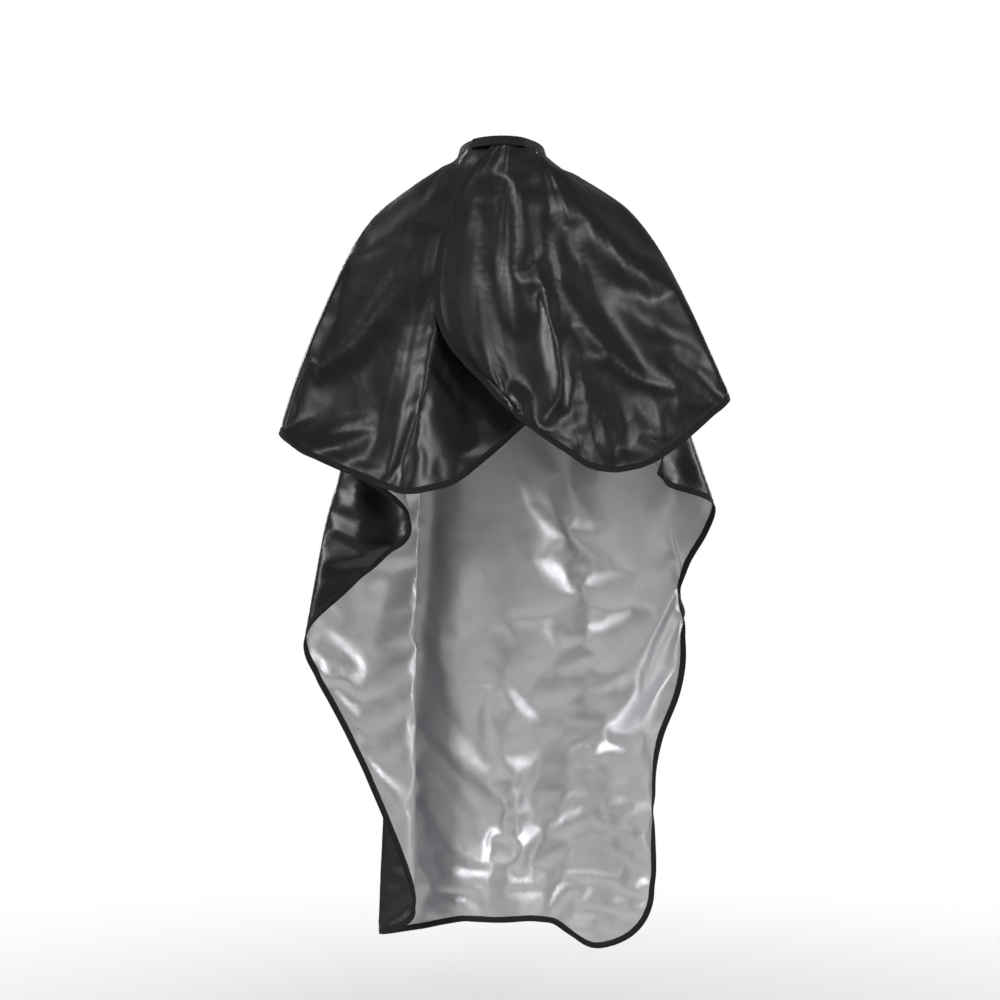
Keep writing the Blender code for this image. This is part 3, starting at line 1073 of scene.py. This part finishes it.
# The stitches of one piece along its lines of (places, facing directions)
def sewn(name, lines, seed):
    vertices = np.concatenate([line[0] for line in lines])
    faces = np.concatenate([line[1] for line in lines])
    edges, start = [], 0
    for line in lines:
        edges += [(start + k, start + k + 1) for k in range(len(line[0]) - 1)]
        start += len(line[0])
    mesh = bpy.data.meshes.new(name)
    mesh.from_pydata(vertices.tolist(), edges, [])
    attribute = mesh.attributes.new("face", "FLOAT_VECTOR", "POINT")
    attribute.data.foreach_set("vector", faces.astype(np.float32).ravel())
    item = bpy.data.objects.new(name, mesh)
    scene.collection.objects.link(item)
    values = {"Pitch": stitch["pitch"], "Seed": seed, "Thread": threadBlack}
    return stitchMaker.grown(name, item, values)


# Neckband, closure tab, and the hook and loop tapes
band = {
    "half": 0.0013,
    "height": 0.0140,
    "leftEnd": 14.0,        # this and the next three are degrees round the neck from the nape
    "tabRoot": -12.0,
    "tabTip": -42.0,
    "hinge": 45.0,
    "row": 0.0050,          # stitch rows, from the band's middle
    "lean": 0.30,           # the band's lower edge stands out from the neck
    "pucker": 0.00022,
    "corner": 0.0007,
    "tipRound": 0.0045,
    "hookOut": 3.25,        # millimetres out from the neck ring to the middle of the hook tape
    "loopOut": 1.95,        # and of the loop tape
    "turn": 1.5,            # degrees between two sections
}


# Places round the neck ring, the way out from the neck, and up
def bandPath(first, last, outAt):
    count = max(4, round(abs(last - first) / band["turn"]))
    angles = np.linspace(first, last, count + 1)
    place = np.array([neckPoint(angle, outAt(angle)) for angle in angles]) * mm
    turn = np.radians(angles)
    outward = np.stack([np.sin(turn), -np.cos(turn), np.zeros(len(turn))], 1)
    up = np.repeat([[0.0, 0.0, 1.0]], len(angles), 0)
    return place, outward, up, angles


# A flat upright section with soft corners: (up, out) points
def roundedStrip(half, height, corner):
    top = height / 2
    inner = [(-top, -half + corner), (-top + corner, -half), (-top / 2, -half)]
    inner += [(top / 2, -half), (top - corner, -half), (top, -half + corner)]
    outer = [(up, -out) for up, out in inner[::-1]]
    return np.array(inner + outer)


# A length of the neckband, puckered by its stitches, with a rounded first end where it is a free tip
def bandStrip(name, first, last, outAt, roundTip=False):
    place, outward, up, angles = bandPath(first, last, outAt)
    strip = roundedStrip(band["half"], band["height"], band["corner"])
    section = np.repeat(strip[None], len(place), 0)
    section[:, :, 1] -= section[:, :, 0] * band["lean"]
    wave = np.sin(angles * 2.1) * 0.6 + np.sin(angles * 0.9 + 0.5) * 0.4
    section[:, [0, 11], 0] += (wave * band["pucker"])[:, None]
    section[:, [5, 6], 0] -= (wave * band["pucker"])[:, None]
    if roundTip:
        short = np.clip(1 - lengthsAlong(place) / band["tipRound"], 0, 1)
        cut = (1 - np.sqrt(1 - short ** 2)) * band["tipRound"] * 2 / band["height"]
        section[:, :, 0] *= (1 - cut)[:, None]
    return sweep(name, place, outward, up, section, tapeCloth)


# Rows of stitches along the band's top and bottom, outside and inside
def bandStitches(first, last, outAt):
    place, outward, up, angles = bandPath(first, last, outAt)
    lines = []
    for face in (1, -1):
        for row in (band["row"], -band["row"]):
            off = face * (band["half"] + stitch["lift"]) - row * band["lean"]
            lines.append((place + up * row + outward * off, outward * face))
    return lines


def onRing(angle):
    return 0.0


def fullStandOff(angle):
    return neck["overlapOut"]


def hookOut(angle):
    return band["hookOut"]


def loopOut(angle):
    return band["loopOut"]


pile = {
    "apart": 0.0009,
    "density": 900000.0,
    "bend": 4.0,            # how far round each hook or loop goes, in radians
    "rise": 0.35,           # this and the rod are shares of its size
    "rod": 0.16,
    "tilt": 0.2,            # how far each leans and turns, in radians
    "twist": 6.28,
    "half": 0.00042,        # half the backing's thickness
    "top": 0.0052,          # half its height
    "corner": 0.0002,
    "margin": 0.0006,
}


# A small bent hook at each of many even places on a strip
def hookGroup():
    inputs = {"Seed": "NodeSocketInt", "Nylon": "NodeSocketMaterial", "Size": "NodeSocketFloat"}
    group = Growth("pile", inputs)
    spots = group.node("GeometryNodeDistributePointsOnFaces", {"distribute_method": "POISSON"},
                       {"Mesh": group.given("Geometry"), "Distance Min": pile["apart"],
                        "Density Max": pile["density"], "Seed": group.given("Seed")})
    facing = spots.node.outputs["Rotation"]
    arc = group.node("GeometryNodeCurveArc", {"mode": "RADIUS"},
                     {"Resolution": 6, "Radius": 0.5, "Start Angle": 0.0, "Sweep Angle": pile["bend"]})
    upright = {"Geometry": arc, "Rotation": (math.pi / 2, 0, 0), "Translation": (0, 0, pile["rise"])}
    arc = group.node("GeometryNodeTransform", {}, upright)
    rod = group.node("GeometryNodeCurvePrimitiveCircle", {"mode": "RADIUS"},
                     {"Resolution": 4, "Radius": pile["rod"]})
    hook = group.node("GeometryNodeCurveToMesh", {},
                      {"Curve": arc, "Profile Curve": rod, "Fill Caps": True})
    least = (-pile["tilt"], -pile["tilt"], 0.0)
    most = (pile["tilt"], pile["tilt"], pile["twist"])
    turn = group.node("FunctionNodeRandomValue", {"data_type": "FLOAT_VECTOR"},
                      {0: least, 1: most, "Seed": group.given("Seed")})
    facing = group.node("FunctionNodeRotateRotation", {"rotation_space": "LOCAL"}, {0: facing, 1: turn})
    each = group.node("GeometryNodeInstanceOnPoints", {},
                      {"Points": spots, "Instance": hook, "Rotation": facing, "Scale": group.given("Size")})
    solid = group.node("GeometryNodeRealizeInstances", {}, {0: each})
    final = group.node("GeometryNodeSetMaterial", {}, {"Geometry": solid, "Material": group.given("Nylon")})
    group.tree.links.new(final, group.exit.inputs[0])
    return group


# A backing tape on the neck ring with hooks or loops on the face that meets the other one
def closureStrip(name, first, last, outAt, facing, material, seed, size):
    place, outward, up, angles = bandPath(first, last, outAt)
    strip = roundedStrip(pile["half"], 2 * pile["top"], pile["corner"])
    backing = sweep(name, place, outward, up, strip, material)
    rows = place + outward * facing * pile["half"]
    reach = up * (pile["top"] - pile["margin"])
    vertices = np.stack([rows - reach, rows + reach], 1).reshape(-1, 3)
    faces = [(2 * k, 2 * k + 2, 2 * k + 3, 2 * k + 1) for k in range(len(rows) - 1)]
    if facing < 0:
        faces = [face[::-1] for face in faces]
    patch = meshObject(name + "Patch", vertices, faces, [material])
    grown = hookMaker.grown(name + "Pile", patch, {"Seed": seed, "Nylon": material, "Size": size})
    return backing, grown


hookMaker = hookGroup()


# The pieces, what they stand for and what they ride on

# Each swing is a point on a hinge line, the way across it and the width of cloth that bends
rightSwing = {"start": (0.134, -0.225, -0.459), "along": (-0.985, -0.0616, -0.162), "reach": 0.035}
leftSwing = {"start": (-0.135, -0.225, -0.490), "along": (0.9725, -0.0550, -0.1541), "reach": 0.035}
tabSwing = {"start": (-0.01399, -0.06583, 0.01174), "along": (-1.0, 0.0, 0.0), "reach": 0.007}


def swing(piece, near, far, values):
    start = np.array(values["start"])
    end = start + np.array(values["along"]) * values["reach"]
    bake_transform(piece, near, far, start=tuple(start), end=tuple(end))
    shareWeights(piece)


# One blend weight for the points across a thin piece, so that it keeps its thickness as it bends
def shareWeights(piece):
    if "across" not in piece or "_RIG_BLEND" not in piece.data.attributes:
        return
    attribute = piece.data.attributes["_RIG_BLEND"]
    weights = np.empty(len(piece.data.vertices), np.float32)
    attribute.data.foreach_get("value", weights)
    across = int(piece["across"])
    if piece["layered"]:
        rows = weights.reshape(across, -1)
        rows[:] = rows.mean(0)
    else:
        rows = weights.reshape(-1, across)
        rows[:] = rows.mean(1)[:, None]
    attribute.data.foreach_set("value", weights)


# Gives a piece its motion and hides the CAD nodes it stands for
def place(piece, side, slot, *nodes):
    if side == 0:
        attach(piece, "body")
    elif side == 1:
        swing(piece, "body", "left_half", leftSwing)
    else:
        swing(piece, "body", "right_half", rightSwing)
    if nodes:
        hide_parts(*nodes)
    return piece


leftTop, _, leftJoin, rightJoin, _, rightTop = [int(at) for at in edgeJoins]

clothMaterials = [blackCloth, silverCloth]
clothBody = place(clothShell("cloth_body", 0, clothMaterials), 0, "cloth", "cape_body")
clothLeft = place(clothShell("cloth_left", 1, clothMaterials), 1, "cloth", "back_half_left")
clothRight = place(clothShell("cloth_right", 2, clothMaterials), 2, "cloth", "back_half_right")
print("cloth shells made")

bindingBody = place(bindingStrip("tape_body", leftJoin, rightJoin, tapeCloth), 0, "binding", "binding_body")
bindingLeft = place(bindingStrip("tape_left", leftTop, leftJoin, tapeCloth), 1, "binding",
                    "binding_left_hem", "binding_left_slit")
bindingRight = place(bindingStrip("tape_right", rightJoin, rightTop, tapeCloth), 2, "binding",
                     "binding_right_hem", "binding_right_slit")
print("binding made")

bandBody = place(bandStrip("band_body", band["hinge"], 360 - band["hinge"], onRing), 0,
                 "neckband", "neckband")
bandLeft = place(bandStrip("band_left", band["leftEnd"], -band["hinge"], onRing, True), 1,
                 "neckband", "neckband_left")
bandRight = place(bandStrip("band_right", band["tabRoot"], band["hinge"], standOff), 2,
                  "neckband", "neckband_right")
tab = bandStrip("tab", band["tabTip"], band["tabRoot"], fullStandOff, True)
swing(tab, "right_half", "tab", tabSwing)
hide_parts("closure_tab")

stitchesBody = place(sewn("stitches_body", stitchLines(leftJoin, rightJoin)
                          + bandStitches(band["hinge"], 360 - band["hinge"], onRing), 1), 0, "binding")
stitchesLeft = place(sewn("stitches_left", stitchLines(leftTop, leftJoin)
                          + bandStitches(band["leftEnd"] - 2, -band["hinge"], onRing), 2), 1, "binding")
stitchesRight = place(sewn("stitches_right", stitchLines(rightJoin, rightTop)
                           + bandStitches(band["tabRoot"], band["hinge"], standOff), 3), 2, "binding")
stitchesTab = sewn("stitches_tab", bandStitches(band["tabTip"] + 3, band["tabRoot"], fullStandOff), 4)
swing(stitchesTab, "right_half", "tab", tabSwing)
print("stitches sewn")

hookFrom, hookTo = band["tabTip"] + 1, band["tabRoot"] - 2.5
hooks, hookPile = closureStrip("hooks", hookFrom, hookTo, hookOut, -1, hookNylon, 5, 0.0009)
loops, loopFuzz = closureStrip("loops", -band["hinge"] + 2.5, 2.0, loopOut, 1, loopPile, 6, 0.0006)
for piece in (hooks, hookPile):
    swing(piece, "right_half", "tab", tabSwing)
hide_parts("hook_strip")
place(loops, 1, "closure_tape", "loop_strip")
place(loopFuzz, 1, "closure_tape")
print("closure made")


# Width, length and area of one stretch of the flat cut
def flatSize(side):
    chosen = quads[sides == side]
    spread = flatOf[np.unique(chosen)]
    middle = math.atan2(*spread.mean(0)) if side else 0.0
    turn = np.array([[math.cos(middle), math.sin(middle)], [-math.sin(middle), math.cos(middle)]])
    size = np.ptp(spread @ turn, axis=0)
    a, b, c, d = (flatOf[chosen[:, k]] for k in range(4))
    diagonals = (c - a)[:, 0] * (d - b)[:, 1] - (c - a)[:, 1] * (d - b)[:, 0]
    return (float(size[0]), float(size[1])), float(np.abs(diagonals).sum() / 2)


sheets = [
    (clothBody, 0, "band_body", [bindingBody, bandBody, stitchesBody]),
    (clothLeft, 1, "band_left", [bindingLeft, bandLeft, stitchesLeft]),
    (clothRight, 2, "band_right", [bindingRight, bandRight, stitchesRight]),
]
for piece, side, on, trim in sheets:
    size, area = flatSize(side)
print("whole flat cut", np.ptp(flatOf, axis=0).round(3))


# Studio: a pale floor that fades into pale surroundings, and large soft lights
studio = {
    "floorHeight": -1.45,
    "floorWide": 3.0,
    "solid": 0.7,           # the floor is full inside this radius and gone at the next
    "gone": 2.6,
    "seen": 1.0,            # brightness of the surroundings as seen
    "lit": 0.22,            # and as a light
}


def floorFinish():
    finish = Finish("studio_floor")
    place = objectWire(finish)
    mottle = noiseWire(finish, place, 2.0, 3.0)
    reach = finish.node("ShaderNodeVectorMath", {"operation": "LENGTH"}, [place], 1)
    fade = finish.node("ShaderNodeMapRange", {"interpolation_type": "SMOOTHSTEP"},
                       [reach, studio["solid"], studio["gone"], 1.0, 0.0])
    return finish.shade(Base_Color=mixed(finish, mottle, grey(0.86), grey(0.89)), Roughness=0.9, Alpha=fade)


def addFloor():
    wide = studio["floorWide"]
    corners = [(-wide, -wide, 0), (wide, -wide, 0), (wide, wide, 0), (-wide, wide, 0)]
    floor = meshObject("floor", corners, [(0, 1, 2, 3)], [floorFinish()])
    floor.location = (0, 0, studio["floorHeight"])
    return floor


def addLight(name, at, aimHeight, size, watts):
    data = bpy.data.lights.new(name, "AREA")
    data.shape = "RECTANGLE"
    data.size, data.size_y = size
    data.energy = watts
    item = bpy.data.objects.new(name, data)
    item.location = at
    toward = Vector((0, 0, aimHeight)) - Vector(at)
    item.rotation_euler = toward.to_track_quat("-Z", "Y").to_euler()
    scene.collection.objects.link(item)


# Pale surroundings that are seen brighter than they light
def addWorld():
    world = bpy.data.worlds.new("studio")
    world.use_nodes = True
    shade = world.node_tree.nodes["Background"]
    shade.inputs["Color"].default_value = (1.0, 1.0, 1.0, 1.0)
    seen = world.node_tree.nodes.new("ShaderNodeLightPath")
    level = world.node_tree.nodes.new("ShaderNodeMapRange")
    level.inputs["To Min"].default_value = studio["lit"]
    level.inputs["To Max"].default_value = studio["seen"]
    world.node_tree.links.new(seen.outputs["Is Camera Ray"], level.inputs["Value"])
    world.node_tree.links.new(level.outputs["Result"], shade.inputs["Strength"])
    scene.world = world


# Where each light stands, the height it aims at, its width and length, and its watts
lights = {
    "key": ((-3.0, -1.8, 0.9), -0.4, (0.9, 2.4), 75),
    "rim": ((3.0, -1.3, 0.4), -0.6, (0.6, 2.2), 48),
    "lift": ((0.3, -2.8, 2.8), -0.2, (0.9, 0.5), 24),
    "frontLeft": ((-2.6, 2.6, 0.9), -0.5, (0.9, 2.2), 60),
    "frontRight": ((2.8, 2.2, 0.3), -0.5, (0.6, 2.0), 35),
}

addFloor()
addWorld()
for name, (at, aimHeight, size, watts) in lights.items():
    addLight(name, at, aimHeight, size, watts)
scene.view_settings.view_transform = "Standard"
print("studio made")
